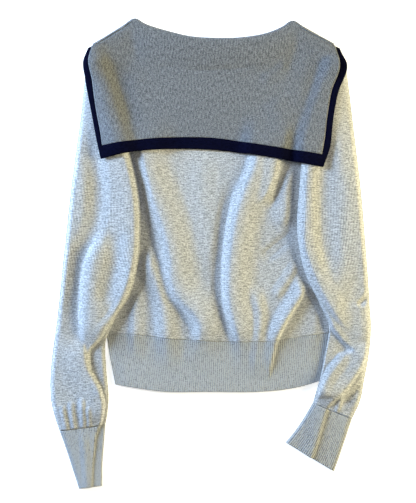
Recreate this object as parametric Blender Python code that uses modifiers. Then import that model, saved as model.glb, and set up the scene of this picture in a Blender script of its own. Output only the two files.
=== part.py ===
"""Sailor jumper in fine grey knit with a navy-edged square collar.

It lies on its front, back upwards, with both sleeves folded down over its sides.
+Y points to the neck, +Z up, and the surface that it lies on is Z = 0.
Sizes are in millimetres and become metres when a mesh is made.
"""

import bpy
import numpy as np
from mathutils import Vector
from mathutils.bvhtree import BVHTree

MM = 0.001

# Cloth
WALL = 1.6
SEAM_GAP = 0.3
COLLAR_SEAM_GAP = 0.5
CUFF_SEAM_GAP = 0.5
LAYER = WALL + SEAM_GAP
RIB_HEIGHT = 0.5
RIB_PITCH = 2.7

# Heights of the layers, measured to the middle of each wall
FRONT_LEVEL = WALL / 2
SLEEVE_LEVEL = FRONT_LEVEL + 0.1
SLEEVE_EDGE_RADIUS = 1.2
BODY_CLEARANCE = 2.8
STEP_RUN = 7.5
LAY_GAP = 0.6
FOLD_START = 5.0
FOLD_RUN = 24.0
NECK_RISE_FROM = 72.0
NECK_RISE_TO = 142.0

# Places in plan
TORSO_TOP_INSET = 5.2
COLLAR_ROLL_RADIUS = 2.4
FRONT_NECK_TIP = (3.0, 172.0)
LAPEL_TIP = (3.0, 146.0)
LAPEL_BORDER_WIDTH = 12.0

# Sides of the body: y, left x, right x
BODY_SIDES = (
    (-107.0, -143.0, 160.5),
    (-48.0, -150.0, 165.0),
    (20.0, -155.0, 170.0),
    (88.0, -160.0, 174.0),
    (122.0, -153.0, 167.0),
    (176.0, -149.5, 161.5),
    (224.0, -154.0, 168.0),
    (268.0, -160.0, 173.0),
)

# Seam between body and hem rib, then the hem's lower edge: x, y
HEM_SEAM = (
    (-143.0, -107.0),
    (-103.0, -109.0),
    (-63.0, -114.0),
    (0.0, -118.0),
    (46.0, -119.0),
    (80.0, -118.0),
    (121.0, -112.0),
    (160.5, -107.0),
)
HEM_BOTTOM = (
    (-130.5, -177.0),
    (-101.0, -182.0),
    (-68.0, -186.5),
    (0.0, -187.0),
    (62.0, -187.0),
    (99.0, -184.0),
    (121.0, -180.0),
    (150.0, -171.5),
)
HEM_SIDES = (
    (-177.0, -130.5, 150.0),
    (-140.0, -138.0, 156.5),
    (-107.0, -143.0, 160.5),
)

# Top of the collar where it folds over: left shoulder, back of the neck, right shoulder: x, y
SHOULDER_LEFT = ((-165.0, 281.0), (-139.0, 297.0), (-120.0, 309.0), (-103.0, 319.3))
NECK = (
    (-103.0, 319.3),
    (-90.0, 312.5),
    (-61.0, 303.0),
    (-26.0, 295.0),
    (5.0, 293.0),
    (44.0, 294.0),
    (80.0, 301.0),
    (97.0, 308.5),
    (110.0, 316.3),
)
SHOULDER_RIGHT = ((110.0, 316.3), (125.0, 308.0), (147.0, 295.5), (171.0, 282.5))

# Navy border of the back collar: outer x, outer y, inner x, inner y
BORDER_LEFT = (
    (-170.5, 275.0, -164.0, 276.0),
    (-173.0, 263.0, -166.0, 264.0),
    (-170.0, 237.0, -161.5, 237.5),
    (-163.0, 199.0, -156.5, 200.0),
    (-155.5, 160.0, -149.5, 163.0),
    (-148.5, 129.0, -147.0, 147.0),
)
BORDER_BOTTOM = (
    (-148.5, 129.0, -147.0, 147.0),
    (-110.0, 138.0, -109.0, 153.5),
    (-65.0, 142.5, -65.0, 158.0),
    (-7.0, 142.5, -6.0, 158.5),
    (71.0, 133.0, 69.0, 148.0),
    (151.0, 118.0, 149.7, 135.0),
)
BORDER_RIGHT = (
    (151.0, 118.0, 149.7, 135.0),
    (160.0, 143.0, 154.0, 158.0),
    (165.0, 183.0, 157.5, 186.0),
    (172.0, 219.0, 163.5, 221.0),
    (184.0, 257.0, 174.5, 258.0),
    (178.5, 277.0, 171.5, 278.0),
)

# Flattened sleeves from the armhole to the cuff: outer x, outer y, inner x, inner y
SLEEVE_LEFT = (
    (-171.0, 255.0, -154.0, 255.0),
    (-172.5, 237.0, -147.0, 237.0),
    (-178.0, 183.0, -128.0, 183.0),
    (-185.0, 133.0, -109.5, 133.0),
    (-190.0, 95.0, -100.0, 95.0),
    (-197.0, 32.0, -96.0, 32.0),
    (-201.5, -10.0, -99.0, -10.0),
    (-206.0, -54.0, -110.5, -54.0),
    (-210.0, -90.0, -131.0, -88.0),
    (-214.5, -123.0, -147.0, -118.0),
    (-218.5, -160.0, -142.5, -156.0),
    (-218.0, -198.0, -139.5, -194.0),
    (-213.0, -221.0, -141.0, -216.0),
    (-206.5, -240.0, -144.0, -231.5),
)
CUFF_LEFT = (
    SLEEVE_LEFT[-1],
    (-198.5, -262.0, -146.0, -257.0),
    (-190.0, -288.0, -148.0, -284.0),
    (-180.0, -318.9, -148.3, -315.0),
)
SLEEVE_RIGHT = (
    (184.0, 255.0, 166.0, 255.0),
    (186.5, 237.0, 159.0, 237.0),
    (193.0, 183.0, 139.0, 183.0),
    (199.0, 133.0, 123.5, 133.0),
    (203.5, 95.0, 120.5, 95.0),
    (210.0, 20.0, 118.0, 22.0),
    (213.5, -25.0, 128.0, -25.0),
    (216.0, -66.0, 147.0, -66.0),
    (218.0, -100.0, 163.5, -97.0),
    (215.0, -136.0, 160.0, -132.0),
    (208.5, -172.0, 151.5, -163.0),
    (203.0, -200.0, 143.5, -184.0),
    (192.0, -224.0, 139.0, -202.0),
)
CUFF_RIGHT = (
    SLEEVE_RIGHT[-1],
    (184.0, -248.0, 127.5, -221.5),
    (176.0, -272.0, 115.5, -239.5),
    (167.5, -295.5, 102.0, -256.0),
)

# Where the back shows between the sleeves; its folds flatten out towards these edges: y, left x, right x
BACK_SHOWS = (
    (-187.0, -130.0, 150.0),
    (-107.0, -143.0, 161.0),
    (-80.0, -124.0, 157.0),
    (-35.0, -103.0, 132.0),
    (16.0, -96.0, 118.0),
    (88.0, -100.0, 119.0),
    (135.0, -111.0, 123.0),
    (200.0, -130.0, 140.0),
    (300.0, -165.0, 170.0),
)

# Folds of the back panel, each a ridge along a path of x, y places.
# Height, width to the path's left, width to its right, path
BACK_FOLDS = {
    "left main": (8.5, 16, 48, (
        (-84, 175), (-80, 134), (-72, 88), (-65, 47), (-56, 5), (-43, -45), (-34, -80),
    )),
    "left lower": (5.0, 16, 22, (
        (-92, 22), (-79, -22), (-72, -58), (-63, -93), (-57, -130), (-54, -180),
    )),
    "left hem": (3.0, 14, 14, (
        (-102, -60), (-102, -90), (-103, -125), (-100, -165),
    )),
    "middle hem": (2.5, 12, 16, (
        (-10, -60), (-9, -90), (-8, -130), (-4, -185),
    )),
    "right main": (7.5, 34, 26, (
        (70, 165), (56, 120), (43, 85), (34, 32), (27, -22), (28, -62), (43, -140),
    )),
    "right upper": (5.0, 22, 14, (
        (97, 160), (88, 128), (77, 81), (68, 45),
    )),
    "right side": (6.5, 26, 18, (
        (140, -22), (131, -40), (108, -76), (91, -104), (82, -140), (73, -184),
    )),
    "right small": (3.0, 12, 10, (
        (118, -12), (106, -26), (90, -50), (80, -66),
    )),
}

# Folds of the sleeves, in the same columns
LEFT_SLEEVE_FOLDS = {
    "inner crest": (5.0, 30, 20, (
        (-138, 160), (-124, 120), (-115, 70), (-113, 15), (-122, -40), (-148, -90),
    )),
    "valley": (-3.5, 16, 14, (
        (-160, 170), (-153, 120), (-150, 75), (-150, 40), (-158, 12),
    )),
    "outer crest": (4.5, 14, 18, (
        (-147, 30), (-163, 6), (-173, -28), (-178, -62), (-179, -92), (-174, -130),
    )),
    "lower crest": (4.0, 24, 10, (
        (-172, -140), (-170, -158), (-157, -183), (-152, -205), (-154, -226), (-160, -240),
    )),
}
RIGHT_SLEEVE_FOLDS = {
    "inner crest": (5.0, 30, 20, (
        (140, 160), (134, 110), (131, 50), (134, 0), (152, -50), (178, -92), (200, -122),
    )),
    "outer valley": (-2.5, 16, 16, (
        (176, 150), (178, 80), (182, 10), (192, -50),
    )),
    "lower crest": (4.5, 12, 26, (
        (206, -140), (193, -168), (170, -190), (156, -214), (150, -226),
    )),
}

# Flat tucked-in cloth beside each forearm, where the sleeve doubles under itself: outline x, y
LEFT_TUCK = (
    (-138, -92), (-150, -111), (-165, -127), (-168, -135), (-166, -158), (-151, -183), (-146, -205),
    (-149, -224), (-158, -245), (-162, -284), (-164, -330), (-120, -330), (-120, -92),
)
RIGHT_TUCK = (
    (150, -76), (162, -92), (179, -114), (196, -131), (176, -139), (162, -155), (151, -176),
    (144, -192), (120, -192), (120, -76),
)
TUCK_SOFTNESS = 7.0
SLEEVE_FULLNESS = 6.0
ARMHOLE_FULLNESS = 1.0
CUFF_FULLNESS = 3.0

# How finely each piece is divided
BACK_GRID = (27, 26)
FRONT_GRID = (16, 18)
COLLAR_GRID = (22, 12)
SLEEVE_STATIONS = 34
SLEEVE_TOP_COLUMNS = 10
CUFF_STATIONS = 5
CUFF_RIBS = 22
HEM_ROWS = 4
DRAPE_STEP = 4.0

# Colours (linear), roughness and metallic value of each knit
KNITS = {
    "grey_jersey": ((0.52, 0.55, 0.56), 0.9, 0.0),
    "grey_collar": ((0.40, 0.43, 0.45), 0.9, 0.0),
    "grey_rib": ((0.45, 0.48, 0.49), 0.9, 0.0),
    "navy_knit": ((0.007, 0.008, 0.03), 0.85, 0.0),
}


def clear_scene():
    for old in list(bpy.data.objects):
        bpy.data.objects.remove(old)


def new_collection(name):
    collection = bpy.data.collections.new(name)
    bpy.context.scene.collection.children.link(collection)
    return collection


def smoothstep(value):
    """0 below 0, 1 above 1, and an even S between."""
    value = np.clip(value, 0.0, 1.0)
    return value * value * (3.0 - 2.0 * value)


def spline(rows, positions):
    """The rows read along a smooth curve through them; positions run from 0 to 1 by length."""
    rows = np.asarray(rows, float)
    lengths = np.linalg.norm(np.diff(rows[:, :2], axis=0), axis=1)
    knots = np.concatenate([[0.0], np.cumsum(lengths)]) / lengths.sum()
    slopes = np.gradient(rows, knots, axis=0)
    positions = np.asarray(positions, float)
    span = np.clip(np.searchsorted(knots, positions, side="right") - 1, 0, len(rows) - 2)
    width = (knots[span + 1] - knots[span])[:, None]
    t = (positions - knots[span])[:, None] / width
    start = (2 * t**3 - 3 * t**2 + 1) * rows[span] + (t**3 - 2 * t**2 + t) * slopes[span] * width
    end = (3 * t**2 - 2 * t**3) * rows[span + 1] + (t**3 - t**2) * slopes[span + 1] * width
    return start + end


def chain(curves, counts):
    """Several smooth curves joined end to end, each with its own number of steps."""
    points = [spline(rows, np.linspace(0, 1, count + 1))[:-1] for rows, count in zip(curves, counts)]
    points.append(np.asarray(curves[-1][-1:], float))
    return np.concatenate(points)


def coons(bottom, top, left, right):
    """Plan points of a panel between four edges: bottom and top run left to right, the sides run upwards."""
    u = np.linspace(0, 1, len(bottom))[None, :, None]
    v = np.linspace(0, 1, len(left))[:, None, None]
    ruled_up = (1 - v) * bottom[None] + v * top[None]
    ruled_across = (1 - u) * left[:, None] + u * right[:, None]
    corners = (1 - v) * ((1 - u) * bottom[0] + u * bottom[-1]) + v * ((1 - u) * top[0] + u * top[-1])
    return ruled_up + ruled_across - corners


def from_path(path, x, y):
    """Signed distance from a smooth path, positive to its left, and the place along it from 0 to 1."""
    line = spline(path, np.linspace(0, 1, 4 * len(path)))
    best = np.full(x.shape, np.inf)
    signed = np.zeros(x.shape)
    along = np.zeros(x.shape)
    for index in range(len(line) - 1):
        start = line[index]
        step = line[index + 1] - start
        t = np.clip(((x - start[0]) * step[0] + (y - start[1]) * step[1]) / (step @ step), 0, 1)
        off_x = x - start[0] - t * step[0]
        off_y = y - start[1] - t * step[1]
        distance = np.hypot(off_x, off_y)
        nearer = distance < best
        best = np.where(nearer, distance, best)
        signed = np.where(nearer, np.sign(step[0] * off_y - step[1] * off_x) * distance, signed)
        along = np.where(nearer, (index + t) / (len(line) - 1), along)
    return signed, along


def fold_height(folds, x, y):
    """Height that a table of folds adds at x, y: rounded ridges that rise and die out along their paths."""
    total = np.zeros(x.shape)
    for height, left_width, right_width, path in folds.values():
        signed, along = from_path(path, x, y)
        width = np.where(signed > 0, left_width, right_width)
        across = 0.5 + 0.5 * np.cos(np.pi * np.clip(np.abs(signed) / width, 0, 1))
        ends = smoothstep(along / 0.22) * smoothstep((1 - along) / 0.22)
        total += height * across * ends
    return total


def depth_inside(outline, x, y):
    """Distance inside a closed outline, 0 outside it."""
    inside = np.zeros(x.shape, bool)
    nearest = np.full(x.shape, np.inf)
    points = np.asarray(outline, float)
    for start, end in zip(points, np.roll(points, -1, axis=0)):
        step = end - start
        t = np.clip(((x - start[0]) * step[0] + (y - start[1]) * step[1]) / (step @ step), 0, 1)
        nearest = np.minimum(nearest, np.hypot(x - start[0] - t * step[0], y - start[1] - t * step[1]))
        if start[1] != end[1]:
            crossing = (start[1] > y) != (end[1] > y)
            inside ^= crossing & (x < start[0] + (y - start[1]) * step[0] / step[1])
    return np.where(inside, nearest, 0.0)


def column(table, index, y):
    """One column of a table whose first column is y, read at y."""
    rows = np.asarray(sorted(table), float)
    return np.interp(y, rows[:, 0], rows[:, index])


def front_height(y):
    """Middle of the front panel: on the surface, and over the collar's lapels near the neck."""
    return FRONT_LEVEL + LAYER * smoothstep((y - NECK_RISE_FROM) / (NECK_RISE_TO - NECK_RISE_FROM))


def back_height(x, y):
    """Middle of the back panel: one layer over the front, with its folds between the sleeves."""
    from_left = smoothstep((x - column(BACK_SHOWS, 1, y) - FOLD_START) / FOLD_RUN)
    from_right = smoothstep((column(BACK_SHOWS, 2, y) - x - FOLD_START) / FOLD_RUN)
    under_collar = 1.0 - 0.9 * smoothstep((y - 130.0) / 60.0)
    slack = 1.2 + fold_height(BACK_FOLDS, x, y)
    slack = np.maximum(slack, 0.0)
    return front_height(y) + LAYER + slack * from_left * from_right * under_collar


def sleeve_floor(x, y):
    """Middle of a sleeve's under layer: on the surface beside the body, and a layer over the back on it."""
    left = column(BODY_SIDES + HEM_SIDES, 1, y)
    right = column(BODY_SIDES + HEM_SIDES, 2, y)
    outside = np.maximum(left - x, x - right)
    on_body = 1.0 - smoothstep((outside - BODY_CLEARANCE) / STEP_RUN)
    below_hem = smoothstep((y + 196.0) / 8.0)
    rise = back_height(x, y) + LAYER + LAY_GAP - SLEEVE_LEVEL
    return SLEEVE_LEVEL + on_body * below_hem * rise


def new_object(name, collection, knit, points, faces):
    mesh = bpy.data.meshes.new(name)
    mesh.from_pydata([tuple(point) for point in np.asarray(points) * MM], [], faces)
    mesh.validate()
    material = bpy.data.materials.new(name + "_" + knit)
    material.use_nodes = True
    colour, roughness, metallic = KNITS[knit]
    shader = material.node_tree.nodes["Principled BSDF"]
    shader.inputs["Base Color"].default_value = (*colour, 1.0)
    shader.inputs["Roughness"].default_value = roughness
    shader.inputs["Metallic"].default_value = metallic
    mesh.materials.append(material)
    obj = bpy.data.objects.new(name, mesh)
    collection.objects.link(obj)
    mesh.shade_smooth()
    mesh.set_sharp_from_angle(angle=0.9)
    return obj


def grid_faces(rows, columns, closed, flip=False):
    """Quads of a grid of points numbered row by row; a closed grid joins its last column to its first."""
    faces = []
    for row in range(rows - 1):
        for place in range(columns if closed else columns - 1):
            after = (place + 1) % columns
            here = row * columns
            above = here + columns
            face = (here + place, here + after, above + after, above + place)
            faces.append(face[::-1] if flip else face)
    return faces


def add_sheet(name, collection, knit, grid, closed=False, flip=False):
    """A wall of even thickness about a grid of middle points (rows, columns, 3)."""
    rows, columns = grid.shape[:2]
    faces = grid_faces(rows, columns, closed, flip)
    obj = new_object(name, collection, knit, grid.reshape(-1, 3), faces)
    wall = obj.modifiers.new("wall", "SOLIDIFY")
    wall.thickness = WALL * MM
    wall.offset = 0.0
    wall.use_even_offset = True
    return obj


def grid_normals(grid, closed):
    """Unit normals of a grid of points, by its rows and columns."""
    if closed:
        along = (np.roll(grid, -1, axis=1) - np.roll(grid, 1, axis=1)) / 2
    else:
        along = np.gradient(grid, axis=1)
    normals = np.cross(along, np.gradient(grid, axis=0))
    return normals / np.linalg.norm(normals, axis=2, keepdims=True)


def rim_faces(outer, inner, kept, closed, flip):
    """Joins a fine rim to a coarse one that keeps only some of its columns."""
    faces = []
    count = len(outer)
    pairs = list(zip(kept, kept[1:]))
    if closed:
        pairs.append((kept[-1], kept[0] + count))
    for place, (start, end) in enumerate(pairs):
        here = inner[place]
        there = inner[(place + 1) % len(inner)]
        for fine in range(start, end):
            faces.append((here, outer[fine % count], outer[(fine + 1) % count]))
        faces.append((here, outer[end % count], there))
    return [face[::-1] for face in faces] if flip else faces


def add_ribbed(name, collection, knit, grid, ribs, kept, closed):
    """A knit wall whose outer points carry ribs over a plain inner face that keeps only some columns.

    grid holds middle points with the outer side where its normals point, and ribs each column's height.
    """
    rows, columns = grid.shape[:2]
    normals = grid_normals(grid, closed)
    outer = grid + normals * (WALL / 2 + ribs[None, :, None])
    inner = (grid - normals * (WALL / 2))[:, kept]
    base = rows * columns
    coarse = len(kept)
    faces = grid_faces(rows, columns, closed)
    faces += [tuple(base + index for index in face) for face in grid_faces(rows, coarse, closed, flip=True)]
    low_outer = list(range(columns))
    low_inner = list(range(base, base + coarse))
    high_outer = [(rows - 1) * columns + index for index in low_outer]
    high_inner = [(rows - 1) * coarse + index for index in low_inner]
    faces += rim_faces(low_outer, low_inner, kept, closed, flip=True)
    faces += rim_faces(high_outer, high_inner, kept, closed, flip=False)
    if not closed:
        for row in range(rows - 1):
            low, high = row * columns, (row + 1) * columns
            low_inside, high_inside = base + row * coarse, base + (row + 1) * coarse
            faces.append((low, high, high_inside, low_inside))
            across = coarse - 1
            faces.append((low + columns - 1, low_inside + across, high_inside + across, high + columns - 1))
    points = np.concatenate([outer.reshape(-1, 3), inner.reshape(-1, 3)])
    return new_object(name, collection, knit, points, faces)


def raised(plan, height):
    """Plan points lifted to a height."""
    return np.concatenate([plan, height[..., None]], axis=-1)


def inset_top(curve, distance):
    """A curve that runs left to right along the garment's top, moved in towards the body."""
    step = np.gradient(curve, axis=0)
    step /= np.linalg.norm(step, axis=1, keepdims=True)
    return curve + distance * np.stack([step[:, 1], -step[:, 0]], axis=1)


def side_edge(table, index, rows):
    y = np.linspace(min(row[0] for row in table), max(row[0] for row in table), rows)
    return np.stack([column(table, index, y), y], axis=1)


def torso_plan(top, columns, rows):
    """Plan of the front or back panel under a given top edge."""
    seam = spline(HEM_SEAM, np.linspace(0, 1, columns))
    left = side_edge(BODY_SIDES, 1, rows)
    right = side_edge(BODY_SIDES, 2, rows)
    left[:, 1] += (top[0, 1] - left[-1, 1]) * np.linspace(0, 1, rows) ** 3
    right[:, 1] += (top[-1, 1] - right[-1, 1]) * np.linspace(0, 1, rows) ** 3
    left[:, 0] += (top[0, 0] - left[-1, 0]) * np.linspace(0, 1, rows) ** 3
    right[:, 0] += (top[-1, 0] - right[-1, 0]) * np.linspace(0, 1, rows) ** 3
    left[0] = seam[0]
    right[0] = seam[-1]
    return coons(seam, top, left, right)


def make_back(collection):
    """Back panel, one piece from the hem rib to the shoulders and the neck."""
    columns, rows = BACK_GRID
    shoulder = columns // 5
    counts = (shoulder, columns - 1 - 2 * shoulder, shoulder)
    top = inset_top(chain((SHOULDER_LEFT, NECK, SHOULDER_RIGHT), counts), TORSO_TOP_INSET)
    plan = torso_plan(top, columns, rows)
    middle = raised(plan, back_height(plan[..., 0], plan[..., 1]))
    return add_sheet("body_back", collection, "grey_jersey", middle)


def front_top(columns):
    """Top edge of the front panel: shoulder, V-neck, shoulder."""
    quarter = (columns - 1) // 4
    left = inset_top(spline(SHOULDER_LEFT, np.linspace(0, 1, quarter + 1)), TORSO_TOP_INSET)
    right = inset_top(spline(SHOULDER_RIGHT, np.linspace(0, 1, quarter + 1)), TORSO_TOP_INSET)
    tip = np.array(FRONT_NECK_TIP)
    down = left[-1] + (tip - left[-1]) * np.linspace(0, 1, quarter + 1)[1:, None]
    up = tip + (right[0] - tip) * np.linspace(0, 1, quarter + 1)[1:, None]
    return np.concatenate([left, down, up, right[1:]])


def make_front(collection):
    """Front panel, plain and flat where it lies on the surface."""
    columns, rows = FRONT_GRID
    top = front_top(columns + 1)
    plan = torso_plan(top, columns + 1, rows)
    return add_sheet("body_front", collection, "grey_jersey", raised(plan, front_height(plan[..., 1])))


def hem_plan(columns, rows):
    seam = spline(HEM_SEAM, np.linspace(0, 1, columns))
    seam[:, 1] -= SEAM_GAP
    bottom = spline(HEM_BOTTOM, np.linspace(0, 1, columns))
    left = side_edge(HEM_SIDES, 1, rows)
    right = side_edge(HEM_SIDES, 2, rows)
    for edge, place in ((left, 0), (right, -1)):
        edge[0] = bottom[place]
        edge[-1] = seam[place]
    left[1:-1, 1] = np.linspace(bottom[0, 1], seam[0, 1], rows)[1:-1]
    right[1:-1, 1] = np.linspace(bottom[-1, 1], seam[-1, 1], rows)[1:-1]
    left[1:-1, 0] = column(HEM_SIDES, 1, left[1:-1, 1])
    right[1:-1, 0] = column(HEM_SIDES, 2, right[1:-1, 1])
    return coons(bottom, seam, left, right)


def make_hems(collection):
    """Hem band of front and back; the back's outer side carries the 1 by 1 rib."""
    width = HEM_SEAM[-1][0] - HEM_SEAM[0][0]
    ribs = round(width / RIB_PITCH / 4) * 4
    columns = 2 * ribs + 1
    plan = hem_plan(columns, HEM_ROWS)
    middle = raised(plan, back_height(plan[..., 0], plan[..., 1]))
    heights = RIB_HEIGHT * (np.arange(columns) % 2)
    kept = list(range(0, columns, 8))
    add_ribbed("hem_back", collection, "grey_rib", middle, heights, kept, closed=False)
    plan = hem_plan(FRONT_GRID[0] + 1, HEM_ROWS)
    add_sheet("hem_front", collection, "grey_rib", raised(plan, front_height(plan[..., 1])))


def under_fractions(outer, inner, margin, reach):
    """Where the under layer's columns lie across a section: two of them flank its step up onto the body."""
    y = (outer[1] + inner[1]) / 2
    side = column(BODY_SIDES + HEM_SIDES, 1 if outer[0] < 0 else 2, y)
    step_top = (abs(side - outer[0]) - BODY_CLEARANCE - margin) / reach
    step_foot = np.clip(step_top - STEP_RUN / reach, 0.1, 0.75)
    step_top = np.clip(step_top, step_foot + 0.08, 0.88)
    return np.array([0.0, step_foot, step_top, (1 + step_top) / 2, 1.0])


def tube_ring(section, top_fractions, tuck, folds, fullness):
    """Middle points round a flattened sleeve at one section, starting at its outer edge along the floor."""
    outer = section[:2]
    inner = section[2:4]
    width = np.linalg.norm(inner - outer)
    way = (inner - outer) / width
    margin = WALL / 2 + SLEEVE_EDGE_RADIUS
    reach = width - 2 * margin
    bottom_fractions = under_fractions(outer, inner, margin, reach)
    low = outer + way * (margin + reach * bottom_fractions[:, None])
    low_z = sleeve_floor(low[:, 0], low[:, 1])
    high = outer + way * (margin + reach * top_fractions[:, None])
    room = np.clip(reach * np.minimum(top_fractions, 1 - top_fractions) / 12.0, 0, 1)
    bulge = np.sqrt(room * (2 - room))
    kept_full = 1.0 - smoothstep(depth_inside(tuck, high[:, 0], high[:, 1]) / TUCK_SOFTNESS)
    swell = np.maximum(fullness + fold_height(folds, high[:, 0], high[:, 1]), 0.0)
    high_z = sleeve_floor(high[:, 0], high[:, 1]) + 2 * SLEEVE_EDGE_RADIUS + swell * bulge * kept_full
    ends = []
    for corner, side, z in ((outer, 1, low_z[0]), (inner, -1, low_z[-1])):
        plan = corner + way * side * WALL / 2
        ends.append(np.array([*plan, z + SLEEVE_EDGE_RADIUS]))
    bottom = raised(low, low_z)
    top = raised(high, high_z)[::-1]
    return np.concatenate([bottom, ends[1:], top, ends[:1]])


def fullness_at(position):
    """A sleeve's fullness: small at the armhole under the collar, and drawn in at the cuff."""
    opened = (SLEEVE_FULLNESS - ARMHOLE_FULLNESS) * smoothstep((position - 0.12) / 0.2)
    gathered = (SLEEVE_FULLNESS - CUFF_FULLNESS) * smoothstep((position - 0.93) / 0.07)
    return ARMHOLE_FULLNESS + opened - gathered


def even_fractions(count):
    """Fractions from 0 to 1 that crowd towards both ends."""
    even = np.linspace(0, 1, count)
    return 0.6 * even + 0.4 * (0.5 - 0.5 * np.cos(np.pi * even))


def make_sleeve(collection, side, rows, tuck, folds):
    """One sleeve as a flattened tube, open at the armhole and at the cuff."""
    top = even_fractions(SLEEVE_TOP_COLUMNS)
    rings = []
    for position in np.linspace(0, 1, SLEEVE_STATIONS):
        section = spline(rows, [position])[0]
        rings.append(tube_ring(section, top, tuck, folds, fullness_at(position)))
    grid = np.array(rings)
    return add_sheet("sleeve_" + side, collection, "grey_jersey", grid, closed=True, flip=side == "right")


def make_cuff(collection, side, rows, tuck):
    """One cuff as a flattened tube, ribbed on the side that shows and plain where it lies on the surface."""
    top = np.linspace(0, 1, 2 * CUFF_RIBS + 1)
    rings = []
    length = np.linalg.norm(np.subtract(rows[-1], rows[0])[:2])
    for position in np.linspace(CUFF_SEAM_GAP / length, 1, CUFF_STATIONS):
        section = spline(rows, [position])[0]
        fullness = CUFF_FULLNESS * (1 - 0.5 * position)
        rings.append(tube_ring(section, top, tuck, {}, fullness))
    grid = np.array(rings)
    columns = grid.shape[1]
    first_rib = columns - len(top) - 1
    heights = np.zeros(columns)
    heights[first_rib:-1] = RIB_HEIGHT * (np.arange(len(top)) % 2)
    kept = list(range(first_rib)) + list(range(first_rib, columns - 1, 4)) + [columns - 1]
    if side == "left":
        grid = grid[::-1]
    return add_ribbed("cuff_" + side, collection, "grey_rib", grid, heights, kept, closed=True)


class Drape:
    """Height of a sheet laid over the pieces already made: their tops, spread out and evened."""

    def __init__(self, pieces, low, high):
        self.low = np.array(low, float)
        counts = np.ceil((np.array(high) - self.low) / DRAPE_STEP).astype(int) + 1
        graph = bpy.context.evaluated_depsgraph_get()
        trees = [BVHTree.FromObject(piece, graph) for piece in pieces]
        tops = np.zeros(counts)
        for i in range(counts[0]):
            for j in range(counts[1]):
                x, y = self.low + DRAPE_STEP * np.array([i, j])
                above = Vector((x * MM, y * MM, 1.0))
                hits = [tree.ray_cast(above, Vector((0, 0, -1)))[0] for tree in trees]
                tops[i, j] = max([hit.z / MM for hit in hits if hit] + [0.0])
        for combine in (np.max, np.max, np.max, np.mean, np.mean):
            tops = self.around(tops, combine)
        self.tops = tops

    @staticmethod
    def around(tops, combine):
        padded = np.pad(tops, 1, mode="edge")
        width, depth = tops.shape
        near = [padded[i : i + width, j : j + depth] for i in range(3) for j in range(3)]
        return combine(near, axis=0)

    def middle(self, x, y):
        """Middle of a wall that lies on the pieces with a clear gap."""
        place_x = np.clip((x - self.low[0]) / DRAPE_STEP, 0, self.tops.shape[0] - 1.001)
        place_y = np.clip((y - self.low[1]) / DRAPE_STEP, 0, self.tops.shape[1] - 1.001)
        i = place_x.astype(int)
        j = place_y.astype(int)
        a = place_x - i
        b = place_y - j
        near = (1 - b) * self.tops[i, j] + b * self.tops[i, j + 1]
        far = (1 - b) * self.tops[i + 1, j] + b * self.tops[i + 1, j + 1]
        return (1 - a) * near + a * far + WALL / 2 + LAY_GAP + 0.5


def roll_over(edge, outward, height):
    """Rows that carry a sheet's top edge over and down, to just above the lapels that it meets."""
    rows = []
    centre = edge - outward * (COLLAR_ROLL_RADIUS + WALL / 2)
    for turn in (0.0, 35.0, 65.0, 90.0):
        angle = np.radians(turn)
        plan = centre + outward * COLLAR_ROLL_RADIUS * np.sin(angle)
        rows.append(raised(plan, height - COLLAR_ROLL_RADIUS * (1 - np.cos(angle))))
    foot = WALL + SEAM_GAP
    rows.append(raised(centre + outward * COLLAR_ROLL_RADIUS, np.full(len(edge), foot)))
    return rows


def outward_of(edge):
    step = np.gradient(edge, axis=0)
    step /= np.linalg.norm(step, axis=1, keepdims=True)
    return np.stack([-step[:, 1], step[:, 0]], axis=1)


def make_collar_back(collection, drape):
    """Grey square of the back collar, rolled over the neck and the shoulders at its top."""
    columns, rows = COLLAR_GRID
    shoulder = columns // 5
    counts = (shoulder, columns - 2 * shoulder, shoulder)
    top = chain((SHOULDER_LEFT, NECK, SHOULDER_RIGHT), counts)
    outward = outward_of(top)
    under = top - outward * (COLLAR_ROLL_RADIUS + WALL / 2)
    places = np.linspace(0, 1, columns + 1)
    bottom = spline(BORDER_BOTTOM, places)[:, 2:4] + (0.0, COLLAR_SEAM_GAP)
    left = spline(BORDER_LEFT, np.linspace(1, 0, rows + 1))[:, 2:4] + (COLLAR_SEAM_GAP, 0.0)
    right = spline(BORDER_RIGHT, np.linspace(0, 1, rows + 1))[:, 2:4] - (COLLAR_SEAM_GAP, 0.0)
    left[0] = bottom[0] = bottom[0] + (COLLAR_SEAM_GAP, 0.0)
    right[0] = bottom[-1] = bottom[-1] - (COLLAR_SEAM_GAP, 0.0)
    left[-1] = under[0]
    right[-1] = under[-1]
    plan = coons(bottom, under, left, right)
    height = drape.middle(plan[..., 0], plan[..., 1])
    grid = raised(plan, height)
    rolled = roll_over(top, outward, height[-1])
    grid = np.concatenate([grid[:-1], np.array(rolled)])
    return add_sheet("collar_back", collection, "grey_collar", grid)


def make_border_back(collection, drape):
    """Navy band round the back collar: down the left side, along the bottom and up the right side."""
    counts = (12, 22, 12)
    rows = chain((BORDER_LEFT, BORDER_BOTTOM, BORDER_RIGHT), counts)
    across = np.array([0.0, 0.5, 1.0])[:, None, None]
    plan = rows[None, :, 0:2] * (1 - across) + rows[None, :, 2:4] * across
    middle = raised(plan, drape.middle(plan[..., 0], plan[..., 1]))
    return add_sheet("border_back", collection, "navy_knit", middle, flip=True)


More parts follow.
